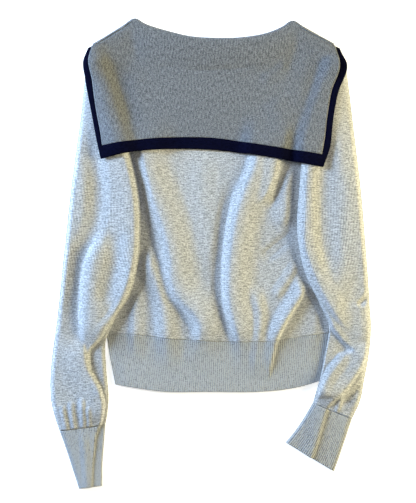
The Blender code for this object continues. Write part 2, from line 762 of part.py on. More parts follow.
def lapel_edges(side):
    """Outer and neck edges of one lapel from the shoulder to the tip of the V, in plan."""
    shoulder = SHOULDER_LEFT if side == "left" else SHOULDER_RIGHT[::-1]
    outer_top = np.array(shoulder[0])
    neck_top = np.array(shoulder[-1])
    tip = np.array(LAPEL_TIP)
    sign = -1.0 if side == "left" else 1.0
    waist = np.array([sign * 78.0 + tip[0], 196.0])
    path = (outer_top, waist + (sign * 34.0, 34.0), waist, tip + (sign * 2.0, 0.0))
    outer = spline(path, np.linspace(0, 1, 10))
    neck_tip = np.array(FRONT_NECK_TIP) + (sign * 1.0, 0.0)
    neck = neck_top + (neck_tip - neck_top) * np.linspace(0, 1, 10)[:, None]
    return outer, neck


def make_lapel(collection, side):
    """Front end of the collar, flat under the front panel, with its navy border."""
    outer, neck = lapel_edges(side)
    way = neck - outer
    length = np.linalg.norm(way, axis=1, keepdims=True)
    way = way / length
    band = np.minimum(LAPEL_BORDER_WIDTH, 0.45 * length)
    border_inner = outer + way * band
    grey_outer = outer + way * (band + SEAM_GAP)
    level = FRONT_LEVEL
    flip = side == "right"
    for name, knit, start, end, count in (
        ("border_front_" + side, "navy_knit", outer, border_inner, 3),
        ("collar_front_" + side, "grey_collar", grey_outer, neck, 4),
    ):
        across = np.linspace(0, 1, count)[:, None, None]
        plan = start[None] * (1 - across) + end[None] * across
        add_sheet(name, collection, knit, raised(plan, np.full(plan.shape[:2], level)), flip=flip)


def main():
    clear_scene()
    collection = new_collection("sailor_jumper")
    back = make_back(collection)
    make_front(collection)
    make_hems(collection)
    sleeves = [
        make_sleeve(collection, "left", SLEEVE_LEFT, LEFT_TUCK, LEFT_SLEEVE_FOLDS),
        make_sleeve(collection, "right", SLEEVE_RIGHT, RIGHT_TUCK, RIGHT_SLEEVE_FOLDS),
    ]
    make_cuff(collection, "left", CUFF_LEFT, LEFT_TUCK)
    make_cuff(collection, "right", CUFF_RIGHT, RIGHT_TUCK)
    bpy.context.view_layer.update()
    drape = Drape([back, *sleeves], low=(-190.0, 104.0), high=(200.0, 332.0))
    make_collar_back(collection, drape)
    make_border_back(collection, drape)
    make_lapel(collection, "left")
    make_lapel(collection, "right")


main()
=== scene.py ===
import bpy
import numpy as np
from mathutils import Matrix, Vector
from mathutils.bvhtree import BVHTree


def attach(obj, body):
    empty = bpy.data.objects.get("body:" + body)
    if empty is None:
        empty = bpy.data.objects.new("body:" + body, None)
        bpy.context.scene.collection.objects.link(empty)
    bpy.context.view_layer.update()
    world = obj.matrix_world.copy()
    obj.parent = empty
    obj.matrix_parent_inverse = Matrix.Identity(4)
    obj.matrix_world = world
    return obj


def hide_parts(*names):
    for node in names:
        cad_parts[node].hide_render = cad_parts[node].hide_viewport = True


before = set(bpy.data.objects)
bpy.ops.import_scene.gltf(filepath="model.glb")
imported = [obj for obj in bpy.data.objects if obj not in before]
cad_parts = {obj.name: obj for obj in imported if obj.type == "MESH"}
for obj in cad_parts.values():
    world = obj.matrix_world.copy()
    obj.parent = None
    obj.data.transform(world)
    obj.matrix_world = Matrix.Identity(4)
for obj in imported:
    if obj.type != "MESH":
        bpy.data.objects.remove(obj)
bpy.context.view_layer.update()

# Front panel: fine jersey in grey melange yarn, cut in one piece and laid face down on the floor. It runs
# from the hem rib to the shoulders round a V-neck, and near the neck it lies over the collar's two lapels.
# Sizes are in millimetres, x to the right and y to the neck, and become metres in each mesh.
MM = 0.001
WALL = 1.6
SEAM_GAP = 0.3
LAYER = WALL + SEAM_GAP
FRONT_LEVEL = WALL / 2
NECK_RISE = (72.0, 142.0)
TORSO_TOP_INSET = 5.2
FRONT_NECK_TIP = (3.0, 172.0)
BODY_SIDES = (
    (-107, -143, 160.5), (-48, -150, 165), (20, -155, 170), (88, -160, 174),
    (122, -153, 167), (176, -149.5, 161.5), (224, -154, 168), (268, -160, 173),
)
HEM_SEAM = (
    (-143, -107), (-103, -109), (-63, -114), (0, -118), (46, -119), (80, -118), (121, -112), (160.5, -107),
)
SHOULDER_LEFT = ((-165, 281), (-139, 297), (-120, 309), (-103, 319.3))
NECK = (
    (-103, 319.3), (-90, 312.5), (-61, 303), (-26, 295), (5, 293), (44, 294), (80, 301), (97, 308.5),
    (110, 316.3),
)
SHOULDER_RIGHT = ((110, 316.3), (125, 308), (147, 295.5), (171, 282.5))


def smoothstep(value):
    """0 below 0, 1 above 1, and an even S between."""
    value = np.clip(value, 0.0, 1.0)
    return value * value * (3.0 - 2.0 * value)


def spline(rows, positions):
    """The rows read along a smooth curve through them; positions run from 0 to 1 by length."""
    rows = np.asarray(rows, float)
    lengths = np.linalg.norm(np.diff(rows[:, :2], axis=0), axis=1)
    knots = np.concatenate([[0.0], np.cumsum(lengths)]) / lengths.sum()
    slopes = np.gradient(rows, knots, axis=0)
    positions = np.asarray(positions, float)
    span = np.clip(np.searchsorted(knots, positions, side="right") - 1, 0, len(rows) - 2)
    width = (knots[span + 1] - knots[span])[:, None]
    t = (positions - knots[span])[:, None] / width
    start = (2 * t**3 - 3 * t**2 + 1) * rows[span] + (t**3 - 2 * t**2 + t) * slopes[span] * width
    end = (3 * t**2 - 2 * t**3) * rows[span + 1] + (t**3 - t**2) * slopes[span + 1] * width
    return start + end


def chain(curves, counts):
    """Several smooth curves joined end to end, each with its own number of steps."""
    points = [spline(rows, np.linspace(0, 1, count + 1))[:-1] for rows, count in zip(curves, counts)]
    points.append(np.asarray(curves[-1][-1:], float))
    return np.concatenate(points)


def column(table, index, y):
    """One column of a table whose first column is y, read at y."""
    rows = np.asarray(sorted(table), float)
    return np.interp(y, rows[:, 0], rows[:, index])


def coons(bottom, top, left, right):
    """Plan points of a panel between four edges: bottom and top run left to right, the sides run upwards."""
    u = np.linspace(0, 1, len(bottom))[None, :, None]
    v = np.linspace(0, 1, len(left))[:, None, None]
    ruled_up = (1 - v) * bottom[None] + v * top[None]
    ruled_across = (1 - u) * left[:, None] + u * right[:, None]
    corners = (1 - v) * ((1 - u) * bottom[0] + u * bottom[-1]) + v * ((1 - u) * top[0] + u * top[-1])
    return ruled_up + ruled_across - corners


def raised(plan, height):
    """Plan points lifted to a height."""
    return np.concatenate([plan, height[..., None]], axis=-1)


def inset_top(curve, distance):
    """A curve that runs left to right along the garment's top, moved in towards the body."""
    step = np.gradient(curve, axis=0)
    step /= np.linalg.norm(step, axis=1, keepdims=True)
    return curve + distance * np.stack([step[:, 1], -step[:, 0]], axis=1)


def torso_plan(top, columns, rows):
    """Plan of the front or back panel under a given top edge."""
    seam = spline(HEM_SEAM, np.linspace(0, 1, columns))
    y = np.linspace(BODY_SIDES[0][0], BODY_SIDES[-1][0], rows)
    edges = []
    for index, place in ((1, 0), (2, -1)):
        edge = np.stack([column(BODY_SIDES, index, y), y], axis=1)
        edge += (top[place] - edge[-1]) * np.linspace(0, 1, rows)[:, None] ** 3
        edge[0] = seam[place]
        edges.append(edge)
    return coons(seam, top, *edges)


def front_height(y):
    """Middle of the front panel: on the floor, and over the lapels near the neck."""
    low, high = NECK_RISE
    return FRONT_LEVEL + LAYER * smoothstep((y - low) / (high - low))


def grid_faces(rows, columns, closed, flip=False):
    """Quads of a grid of points numbered row by row; a closed grid joins its last column to its first."""
    faces = []
    for row in range(rows - 1):
        for place in range(columns if closed else columns - 1):
            after = (place + 1) % columns
            here = row * columns
            above = here + columns
            face = (here + place, here + after, above + after, above + place)
            faces.append(face[::-1] if flip else face)
    return faces


def cloth_lengths(grid, axis):
    """How far each point lies along its row or column, measured on the cloth, in metres."""
    steps = np.linalg.norm(np.diff(grid, axis=axis), axis=2)
    mean = steps.mean(axis=1 - axis)
    return np.concatenate([[0.0], np.cumsum(mean)]) * MM


def add_sheet(name, grid, finish, closed=False, flip=False, across=None):
    """A wall of even thickness about a grid of middle points, with its map in metres of cloth.

    across holds each column's place on that map, where it isn't simply measured along the cloth.
    """
    rows, columns = grid.shape[:2]
    mesh = bpy.data.meshes.new(name)
    mesh.from_pydata((grid.reshape(-1, 3) * MM).tolist(), [], grid_faces(rows, columns, closed, flip))
    across = cloth_lengths(grid, 1) if across is None else across
    along = cloth_lengths(grid, 0)
    rim = 2 * across[-1] - across[-2]
    layer = mesh.uv_layers.new(name="cloth")
    for polygon in mesh.polygons:
        corners = [mesh.loops[index].vertex_index for index in polygon.loop_indices]
        wraps = closed and max(c % columns for c in corners) - min(c % columns for c in corners) > 1
        for index, corner in zip(polygon.loop_indices, corners):
            u = rim if wraps and corner % columns == 0 else across[corner % columns]
            layer.data[index].uv = (u, along[corner // columns])
    mesh.materials.append(finish)
    mesh.shade_smooth()
    piece = bpy.data.objects.new(name, mesh)
    bpy.context.collection.objects.link(piece)
    solid = piece.modifiers.new("wall", "SOLIDIFY")
    solid.thickness = WALL * MM
    solid.offset = 0.0
    return piece


def bind(piece, node):
    """Binds a cloth piece to the frame."""
    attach(piece, "root")
    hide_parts(node)


class Signal:
    """A shader socket that Python's operators act on."""

    def __init__(self, tree, socket):
        self.tree = tree
        self.socket = socket

    def math(self, operation, *values):
        node = self.tree.nodes.new("ShaderNodeMath")
        node.operation = operation
        for socket, value in zip(node.inputs, values):
            if isinstance(value, Signal):
                self.tree.links.new(value.socket, socket)
            else:
                socket.default_value = value
        return Signal(self.tree, node.outputs[0])

    def __add__(self, other):
        return self.math("ADD", self, other)

    def __sub__(self, other):
        return self.math("SUBTRACT", self, other)

    def __mul__(self, other):
        return self.math("MULTIPLY", self, other)

    def __rsub__(self, other):
        return self.math("SUBTRACT", other, self)

    __radd__ = __add__
    __rmul__ = __mul__

    def sine(self):
        return self.math("SINE", self)

    def absolute(self):
        return self.math("ABSOLUTE", self)


class Finish:
    """A knit's material, built up from its cloth map."""

    def __init__(self, name):
        self.material = bpy.data.materials.new(name)
        self.material.use_nodes = True
        self.tree = self.material.node_tree
        self.shader = self.tree.nodes["Principled BSDF"]

    def node(self, kind, settings, inputs):
        made = self.tree.nodes.new(kind)
        for key, value in settings.items():
            setattr(made, key, value)
        for key, value in inputs.items():
            if isinstance(value, Signal):
                self.tree.links.new(value.socket, made.inputs[key])
            else:
                made.inputs[key].default_value = value
        return Signal(self.tree, made.outputs[0])

    def feed(self, socket, value):
        if isinstance(value, Signal):
            self.tree.links.new(value.socket, self.shader.inputs[socket])
        else:
            self.shader.inputs[socket].default_value = value


# How flecks, streaks and stitches are mixed into a knit's colour, with painted shade between its wales, and
# then into its relief
FLECK_SHARE = 0.6
MEAN_STITCH = 0.64
YARN_RANGE = (0.38, 0.62)
WALE_RELIEF = 0.6
LEG_RELIEF = 0.4
FLECK_RELIEF = 1.2
STITCH_LEAN = 2.0
YARN_ROUGHNESS = 0.92


def knit(name, dark, light, fleck, streak, wale, course, depth, groove=0.2, sheen=0.2, shine=0.15):
    """Melange knit: flecks and short streaks of lighter and darker yarn, and the relief of its stitches.

    fleck and streak are the yarn's spots across and along in metres, wale and course the stitch's size,
    depth the relief's height, and groove how much shade is painted into the colour between two wales.
    """
    finish = Finish(name)
    chart = finish.node("ShaderNodeUVMap", {"uv_map": "cloth"}, {})
    split = finish.node("ShaderNodeSeparateXYZ", {}, {"Vector": chart})
    u = split
    v = Signal(finish.tree, split.socket.node.outputs["Y"])
    layers = []
    for size_u, size_v, detail in ((*fleck, 2.0), (*streak, 1.0)):
        spot = finish.node("ShaderNodeCombineXYZ", {}, {"X": u * (1 / size_u), "Y": v * (1 / size_v)})
        layers.append(finish.node("ShaderNodeTexNoise", {}, {"Vector": spot, "Scale": 1.0, "Detail": detail}))
    stitch = (u * (np.pi / wale)).sine().absolute()
    # The stitch term paints shade into the colour in the grooves between wales, on top of the real melange
    # flecks
    mottle_and_shade = layers[0] * FLECK_SHARE + layers[1] * (1 - FLECK_SHARE) + (stitch - MEAN_STITCH) * groove
    least, most = YARN_RANGE
    ramp = finish.node("ShaderNodeMapRange", {}, {"Value": mottle_and_shade, "From Min": least, "From Max": most})
    shade = finish.node("ShaderNodeMix", {"data_type": "RGBA"}, {"Factor": ramp}).socket.node
    # The mix node's colour sockets share their names with its number sockets, so they go by number
    shade.inputs[6].default_value = (*dark, 1)
    shade.inputs[7].default_value = (*light, 1)
    finish.feed("Base Color", Signal(finish.tree, shade.outputs[2]))
    leg = ((v * (2 * np.pi / course)) + stitch * STITCH_LEAN).sine()
    relief = stitch * WALE_RELIEF + leg * LEG_RELIEF + layers[0] * FLECK_RELIEF
    bump = finish.node("ShaderNodeBump", {}, {"Height": relief, "Strength": 1.0, "Distance": depth})
    finish.feed("Normal", bump)
    finish.feed("Roughness", YARN_ROUGHNESS)
    finish.feed("Sheen Weight", sheen)
    finish.feed("Sheen Roughness", 0.6)
    finish.feed("Specular IOR Level", shine)
    return finish.material


jersey = knit(
    "grey_melange_jersey",
    dark=(0.22, 0.225, 0.225),
    light=(0.72, 0.725, 0.725),
    fleck=(0.0022, 0.0017),
    streak=(0.008, 0.0016),
    wale=0.0016,
    course=0.0012,
    depth=0.00025,
)

FRONT_ROWS = 60
quarter = np.linspace(0, 1, 18)
left_shoulder = inset_top(spline(SHOULDER_LEFT, quarter), TORSO_TOP_INSET)
right_shoulder = inset_top(spline(SHOULDER_RIGHT, quarter), TORSO_TOP_INSET)
neck_tip = np.array(FRONT_NECK_TIP)
down = left_shoulder[-1] + (neck_tip - left_shoulder[-1]) * quarter[1:, None]
up = neck_tip + (right_shoulder[0] - neck_tip) * quarter[1:, None]
front_top = np.concatenate([left_shoulder, down, up, right_shoulder[1:]])
front_plan = torso_plan(front_top, len(front_top), FRONT_ROWS)
front_grid = raised(front_plan, front_height(front_plan[..., 1]))
front = add_sheet("front_panel", front_grid, jersey)
bind(front, "body_front")

# Back panel: the same jersey in one piece from the hem rib to the shoulders and the neck. It lies on the
# front panel, and the slack cloth stands up in soft folds between the two sleeves.
BACK_SHOWS = (
    (-187, -130, 150), (-107, -143, 161), (-80, -124, 157), (-35, -103, 132), (16, -96, 118),
    (88, -100, 119), (135, -111, 123), (200, -130, 140), (300, -165, 170),
)
BACK_GAP = 0.1
BACK_SLACK = 2.2
FOLD_START = 3.0
FOLD_RUN = 16.0
FOLD_END = 0.22
PATH_STEPS = 5
BACK_COLUMNS = 180
BACK_ROWS = 215

# How much the slack flattens under the collar and in the hem's rib, where that starts and over what run
UNDER_COLLAR = (0.75, 140.0, 60.0)
IN_RIB = (0.45, 100.0, 30.0)

# Each fold is a ridge, or a trough where its height is below zero: height, width on its left, width on its
# right, and its path from the neck down to the hem
BACK_FOLDS = {
    "left main": (10.0, 21, 40, (
        (-94, 195), (-90, 122), (-75, 74), (-61, 33), (-53, -4), (-49, -35), (-38, -60), (-22, -76),
        (-12, -95), (-13, -118), (-22, -142), (-26, -165),
    )),
    "left main trough": (-3.0, 12, 10, (
        (-92, 110), (-85, 43), (-78, 13), (-65, -28), (-54, -62), (-38, -80), (-25, -100), (-25, -130),
    )),
    "left lower": (7.0, 20, 24, (
        (-97, 28), (-94, 3), (-78, -25), (-68, -55), (-63, -82), (-60, -113), (-58, -137), (-58, -165),
    )),
    "left hem": (4.0, 12, 20, ((-106, -38), (-104, -62), (-103, -85), (-104, -112), (-104, -150))),
    "middle soft": (1.6, 26, 26, ((-8, 150), (-12, 80), (-4, 20), (-6, -30))),
    "right main": (10.0, 16, 40, (
        (74, 200), (66, 150), (61, 122), (48, 88), (37, 54), (31, 20), (27, -14), (26, -48), (29, -76),
        (36, -103), (42, -130), (46, -170),
    )),
    "right main trough": (-3.5, 16, 8, (
        (34, 111), (24, 71), (15, 20), (12, -28), (14, -62), (20, -89), (31, -113), (36, -130),
    )),
    "right upper": (6.0, 20, 10, ((93, 170), (88, 122), (85, 105), (79, 79), (72, 58))),
    "right upper trough": (-4.5, 9, 14, ((120, 155), (102, 118), (92, 100), (80, 76), (68, 62))),
    "right inner": (4.5, 26, 14, ((114, 125), (107, 85), (100, 54), (86, 34))),
    "right dip": (-3.0, 14, 14, ((120, 33), (102, 20), (85, 6), (68, -8))),
    "right side": (9.0, 20, 5, (
        (142, -18), (129, -36), (122, -55), (109, -76), (97, -96), (88, -116), (82, -140), (76, -175),
    )),
    "right small": (2.5, 12, 9, ((122, -8), (112, -20), (98, -42), (84, -62))),
    "right hem": (4.5, 12, 14, ((60, -38), (61, -52), (67, -82), (66, -113), (62, -140), (62, -172))),
    "right corner": (1.5, 18, 14, ((150, -70), (142, -92), (136, -112), (128, -150))),
}


def from_path(path, x, y):
    """Distance to the right of a path that runs down, below zero on its left, and the place along it."""
    line = spline(path, np.linspace(0, 1, PATH_STEPS * len(path)))
    best = np.full(x.shape, np.inf)
    signed = np.zeros(x.shape)
    along = np.zeros(x.shape)
    for index in range(len(line) - 1):
        start = line[index]
        step = line[index + 1] - start
        t = np.clip(((x - start[0]) * step[0] + (y - start[1]) * step[1]) / (step @ step), 0, 1)
        off_x = x - start[0] - t * step[0]
        off_y = y - start[1] - t * step[1]
        distance = np.hypot(off_x, off_y)
        nearer = distance < best
        best = np.where(nearer, distance, best)
        signed = np.where(nearer, np.sign(step[0] * off_y - step[1] * off_x) * distance, signed)
        along = np.where(nearer, (index + t) / (len(line) - 1), along)
    return signed, along


def fold_height(folds, x, y):
    """Height that a table of folds adds: rounded ridges that rise and die out along their paths."""
    total = np.zeros(x.shape)
    for height, left_width, right_width, path in folds.values():
        signed, along = from_path(path, x, y)
        width = np.where(signed > 0, right_width, left_width)
        across = 0.5 + 0.5 * np.cos(np.pi * np.clip(np.abs(signed) / width, 0, 1))
        ends = smoothstep(along / FOLD_END) * smoothstep((1 - along) / FOLD_END)
        total += height * across * ends
    return total


def back_height(x, y):
    """Middle of the back panel: one layer over the front, with its folds between the sleeves."""
    from_left = smoothstep((x - column(BACK_SHOWS, 1, y) - FOLD_START) / FOLD_RUN)
    from_right = smoothstep((column(BACK_SHOWS, 2, y) - x - FOLD_START) / FOLD_RUN)
    share, start, run = UNDER_COLLAR
    under_collar = 1.0 - share * smoothstep((y - start) / run)
    share, start, run = IN_RIB
    in_rib = 1.0 - share * smoothstep((-start - y) / run)
    slack = np.maximum(BACK_SLACK + fold_height(BACK_FOLDS, x, y), 0.0)
    return front_height(y) + LAYER + BACK_GAP + slack * from_left * from_right * under_collar * in_rib


# Few steps, so that the edge doesn't cross itself at the neck's corners when it is moved in
back_edge = inset_top(chain((SHOULDER_LEFT, NECK, SHOULDER_RIGHT), (5, 16, 5)), TORSO_TOP_INSET)
back_top = spline(back_edge, np.linspace(0, 1, BACK_COLUMNS))
back_plan = torso_plan(back_top, BACK_COLUMNS, BACK_ROWS)
back_grid = raised(back_plan, back_height(back_plan[..., 0], back_plan[..., 1]))
back = add_sheet("back_panel", back_grid, jersey)
bind(back, "body_back")

# Hem band: 1 by 1 rib knitted in the same yarn, front and back, drawn in a little at its lower edge.
# The back's ribs stand up on the side that shows, and run softly over the folds.
HEM_BOTTOM = (
    (-130.5, -177), (-101, -182), (-68, -186.5), (0, -187), (62, -187), (99, -184), (121, -180),
    (150, -171.5),
)
HEM_SIDES = ((-177, -130.5, 150), (-140, -138, 156.5), (-107, -143, 160.5))
RIB_PITCH = 2.7
RIB_HEIGHT = 0.55
RIB_STEPS = 6
HEM_BACK_ROWS = 44
HEM_FRONT_COLUMNS = 120
HEM_FRONT_ROWS = 30


def hem_plan(columns, rows):
    """Plan of the hem band between its seam and its lower edge."""
    seam = spline(HEM_SEAM, np.linspace(0, 1, columns))
    seam[:, 1] -= SEAM_GAP
    bottom = spline(HEM_BOTTOM, np.linspace(0, 1, columns))
    edges = []
    for index, place in ((1, 0), (2, -1)):
        y = np.linspace(bottom[place, 1], seam[place, 1], rows)
        edge = np.stack([column(HEM_SIDES, index, y), y], axis=1)
        edge[0] = bottom[place]
        edge[-1] = seam[place]
        edges.append(edge)
    return coons(bottom, seam, *edges)


def rib_wave(count):
    """Heights across a rib band: a round rib and a narrow groove in turn."""
    phase = np.arange(count) / RIB_STEPS
    return np.sqrt(0.5 + 0.5 * np.cos(2 * np.pi * phase)) - 0.5


def rib_map(count, first=0):
    """Places across a rib band in metres of cloth, with each groove on a whole number of ribs."""
    return ((np.arange(count) - first) / RIB_STEPS + 0.5) * RIB_PITCH * MM


# The jersey's yarn painted darker all over as the shade of the packed ribs, with stronger painted shade in
# each groove
rib_knit_and_shade = knit(
    "grey_melange_rib_and_shade",
    dark=(0.14, 0.145, 0.15),
    light=(0.47, 0.48, 0.48),
    fleck=(0.0022, 0.0017),
    streak=(0.0016, 0.008),
    wale=RIB_PITCH * MM,
    course=0.0012,
    depth=0.0003,
    groove=0.45,
)
# Number of ribs across the hem band, and the columns that draw them
ribs = round((HEM_SEAM[-1][0] - HEM_SEAM[0][0]) / RIB_PITCH)
hem_columns = ribs * RIB_STEPS + 1
hem_back_plan = hem_plan(hem_columns, HEM_BACK_ROWS)
hem_height = back_height(hem_back_plan[..., 0], hem_back_plan[..., 1])
hem_back_grid = raised(hem_back_plan, hem_height + RIB_HEIGHT * rib_wave(hem_columns)[None, :])
hem_back = add_sheet("hem_band_back", hem_back_grid, rib_knit_and_shade, across=rib_map(hem_columns))
bind(hem_back, "hem_back")
hem_front_plan = hem_plan(HEM_FRONT_COLUMNS, HEM_FRONT_ROWS)
hem_front_grid = raised(hem_front_plan, front_height(hem_front_plan[..., 1]))
hem_front = add_sheet("hem_band_front", hem_front_grid, rib_knit_and_shade)
bind(hem_front, "hem_front")

# Sleeves: each is one tube of jersey set into the armhole under the collar. It lies folded down over the
# side of the back with its slack in long soft folds. The cloth that doubles under at the elbow is drawn as
# a step in the tube's upper layer.
SLEEVE_LEVEL = FRONT_LEVEL + 0.1
SLEEVE_EDGE_RADIUS = 1.3
EDGE_TURNS = 5
BODY_CLEARANCE = 2.8
STEP_RUN = 7.5
LAY_GAP = 0.6
TUCK_SOFTNESS = {"left": 3.0, "right": 6.0}
SLEEVE_FULLNESS = 6.0
ARMHOLE_FULLNESS = 1.0
CUFF_FULLNESS = 3.0
OUTER_ROLL = 6.0
INNER_ROLL = 4.0
BRIDGE_RUN = 32.0
EDGE_TURN = 60.0

# Where each change starts and over what run: below the body in millimetres, then along the sleeve from 0 to 1
BELOW_HEM = (196.0, 8.0)
OPENED = (0.12, 0.2)
GATHERED = (0.93, 0.07)

SLEEVE_STATIONS = 230
SLEEVE_COLUMNS = 60
EVEN_SHARE = 0.6
SLEEVE_LEFT = (
    (-171, 255, -154, 255), (-172.5, 237, -147, 237), (-178, 183, -128, 183), (-185, 133, -109.5, 133),
    (-190, 95, -100, 95), (-197, 32, -96, 32), (-201.5, -10, -99, -10), (-206, -54, -110.5, -54),
    (-210, -90, -131, -88), (-214.5, -123, -143, -118), (-218.5, -160, -142.5, -156),
    (-218, -198, -139.5, -194), (-213, -221, -141, -216), (-206.5, -240, -144, -231.5),
)
SLEEVE_RIGHT = (
    (184, 255, 166, 255), (186.5, 237, 159, 237), (193, 183, 139, 183), (199, 133, 123.5, 133),
    (203.5, 95, 120.5, 95), (210, 20, 118, 22), (213.5, -25, 128, -25), (216, -66, 147, -66),
    (218, -100, 160, -97), (215, -136, 155.5, -132), (208.5, -172, 149.5, -163), (203, -200, 143.5, -184),
    (192, -224, 139, -202),
)
LEFT_TUCK = (
    (-138, -92), (-150, -111), (-165, -127), (-168, -135), (-166, -158), (-151, -183), (-146, -205),
    (-149, -224), (-158, -245), (-162, -284), (-164, -330), (-120, -330), (-120, -92),
)
RIGHT_TUCK = (
    (150, -76), (162, -92), (179, -114), (196, -131), (176, -139), (162, -155), (151, -176),
    (144, -192), (120, -192), (120, -76),
)
LEFT_SLEEVE_FOLDS = {
    "inner crest": (4.5, 40, 10, (
        (-138, 185), (-122, 140), (-110, 95), (-105, 32), (-108, -10), (-120, -52), (-140, -86),
    )),
    "outer crest": (5.0, 10, 32, (
        (-176, 210), (-183, 140), (-187, 90), (-193, 32), (-198, -10), (-201, -50), (-203, -85),
    )),
    "outer trough": (-4.5, 22, 20, (
        (-166, 190), (-158, 130), (-153, 80), (-160, 30), (-176, -5), (-182, -40), (-184, -80), (-181, -112),
        (-177, -138),
    )),
    "elbow crest": (6.5, 9, 42, (
        (-147, 34), (-154, 14), (-165, -10), (-171, -37), (-172, -75), (-170, -112), (-163, -132),
    )),
    "inner trough": (-3.5, 20, 18, ((-124, 40), (-129, 8), (-131, -18), (-138, -45), (-150, -74))),
    "lip": (2.0, 10, 6, ((-104, 4), (-112, -40), (-128, -74), (-146, -98), (-161, -117))),
    "forearm crest": (4.5, 40, 6, (
        (-177, -108), (-173, -135), (-170, -152), (-156, -179), (-149, -198), (-149, -217), (-155, -242),
    )),
    "gather one": (2.2, 6, 6, ((-203, -203), (-199, -222), (-195, -242))),
    "gather two": (2.2, 6, 6, ((-190, -196), (-188, -220), (-185, -242))),
    "gather three": (2.4, 6, 6, ((-176, -192), (-174, -218), (-173, -240))),
    "gather four": (1.6, 5, 5, ((-166, -204), (-166, -220), (-165, -238))),
}
RIGHT_SLEEVE_FOLDS = {
    "inner crest": (4.0, 9, 24, (
        (144, 180), (132, 118), (129, 60), (129, 10), (138, -18), (152, -50), (166, -74), (180, -92),
        (193, -109), (205, -122),
    )),
    "inner trough": (-2.5, 16, 24, ((160, 170), (150, 110), (150, 50), (158, -6), (168, -40))),
    "outer crest": (4.5, 44, 9, ((188, 205), (196, 120), (202, 50), (207, -10), (209, -48))),
    "outer dent": (-4.0, 7, 7, ((216, -50), (209, -61), (198, -70))),
    "elbow swell": (2.5, 22, 16, ((196, -60), (203, -92), (206, -122))),
    "forearm edge": (2.5, 5, 14, ((190, -129), (173, -148), (160, -165), (151, -182), (145, -202))),
    "forearm crest": (5.5, 30, 6, (
        (211, -114), (208, -134), (201, -152), (192, -166), (176, -187), (162, -199), (150, -214),
    )),
    "forearm dip": (-3.0, 8, 12, ((216, -148), (207, -172), (190, -190), (172, -208))),
    "gather": (1.8, 5, 5, ((178, -190), (174, -203), (170, -216))),
}


def depth_inside(outline, x, y):
    """Distance inside a closed outline, 0 outside it."""
    inside = np.zeros(x.shape, bool)
    nearest = np.full(x.shape, np.inf)
    points = np.asarray(outline, float)
    for start, end in zip(points, np.roll(points, -1, axis=0)):
        step = end - start
        t = np.clip(((x - start[0]) * step[0] + (y - start[1]) * step[1]) / (step @ step), 0, 1)
        nearest = np.minimum(nearest, np.hypot(x - start[0] - t * step[0], y - start[1] - t * step[1]))
        if start[1] != end[1]:
            crossing = (start[1] > y) != (end[1] > y)
            inside ^= crossing & (x < start[0] + (y - start[1]) * step[0] / step[1])
    return np.where(inside, nearest, 0.0)


def sleeve_floor(x, y, step_run=STEP_RUN):
    """Middle of a sleeve's under layer: on the floor beside the body, and a layer over the back on it."""
    sides = BODY_SIDES + HEM_SIDES
    outside = np.maximum(column(sides, 1, y) - x, x - column(sides, 2, y))
    on_body = 1.0 - smoothstep((outside - BODY_CLEARANCE) / step_run)
    start, run = BELOW_HEM
    below_hem = smoothstep((y + start) / run)
    rise = back_height(x, y) + LAYER + LAY_GAP - SLEEVE_LEVEL
    return SLEEVE_LEVEL + on_body * below_hem * rise


def tube_grid(rows, stations, across, tuck, softness, folds, fullness):
    """Rings of middle points round a flattened tube, each starting at its outer edge along the floor."""
    sections = spline(rows, stations)
    outer = sections[:, None, 0:2]
    inner = sections[:, None, 2:4]
    width = np.linalg.norm(inner - outer, axis=2, keepdims=True)
    way = (inner - outer) / width
    margin = WALL / 2 + SLEEVE_EDGE_RADIUS
    flat = outer + way * (margin + (width - 2 * margin) * across[None, :, None])
    x, y = flat[..., 0], flat[..., 1]
    low = sleeve_floor(x, y)
    reach = width[..., 0] - 2 * margin
    room = np.clip(np.minimum(reach * across / OUTER_ROLL, reach * (1 - across) / INNER_ROLL), 0, 1)
    bulge = np.sqrt(room * (2 - room))
    kept = 1.0 - smoothstep(depth_inside(tuck, x, y) / softness)
    swell = np.maximum(fullness[:, None] + fold_height(folds, x, y), 0.0) * kept
    bridged = sleeve_floor(x, y, BRIDGE_RUN) - low
    top = raised(flat, low + 2 * SLEEVE_EDGE_RADIUS + (swell + bridged) * bulge)[:, ::-1]
    bottom = raised(flat, low)
    ends = []
    for corner, side, index in ((outer, -1, 0), (inner, 1, -1)):
        turns = []
        for angle in np.linspace(-EDGE_TURN, EDGE_TURN, EDGE_TURNS):
            turn = np.radians(angle)
            plan = corner[:, 0] - way[:, 0] * side * (margin - SLEEVE_EDGE_RADIUS * np.cos(turn))
            height = low[:, index] + SLEEVE_EDGE_RADIUS * (1 + np.sin(turn))
            turns.append(raised(plan, height))
        ends.append(np.stack(turns, axis=1))
    return np.concatenate([bottom, ends[1], top, ends[0][:, ::-1]], axis=1)


def sleeve_fullness(stations):
    """Slack along a sleeve: little at the armhole under the collar, and drawn in at the cuff."""
    start, run = OPENED
    opened = (SLEEVE_FULLNESS - ARMHOLE_FULLNESS) * smoothstep((stations - start) / run)
    start, run = GATHERED
    gathered = (SLEEVE_FULLNESS - CUFF_FULLNESS) * smoothstep((stations - start) / run)
    return ARMHOLE_FULLNESS + opened - gathered


def crowded(count):
    """Fractions from 0 to 1 that crowd towards both ends."""
    even = np.linspace(0, 1, count)
    return EVEN_SHARE * even + (1 - EVEN_SHARE) * (0.5 - 0.5 * np.cos(np.pi * even))


sleeve_stations = np.linspace(0, 1, SLEEVE_STATIONS)
fullness = sleeve_fullness(sleeve_stations)
sleeves = []
for side, rows, tuck, folds in (
    ("left", SLEEVE_LEFT, LEFT_TUCK, LEFT_SLEEVE_FOLDS),
    ("right", SLEEVE_RIGHT, RIGHT_TUCK, RIGHT_SLEEVE_FOLDS),
):
    across = crowded(SLEEVE_COLUMNS)
    grid = tube_grid(rows, sleeve_stations, across, tuck, TUCK_SOFTNESS[side], folds, fullness)
    sleeve = add_sheet(side + "_sleeve", grid, jersey, closed=True, flip=side == "right")
    bind(sleeve, "sleeve_" + side)
    sleeves.append(sleeve)

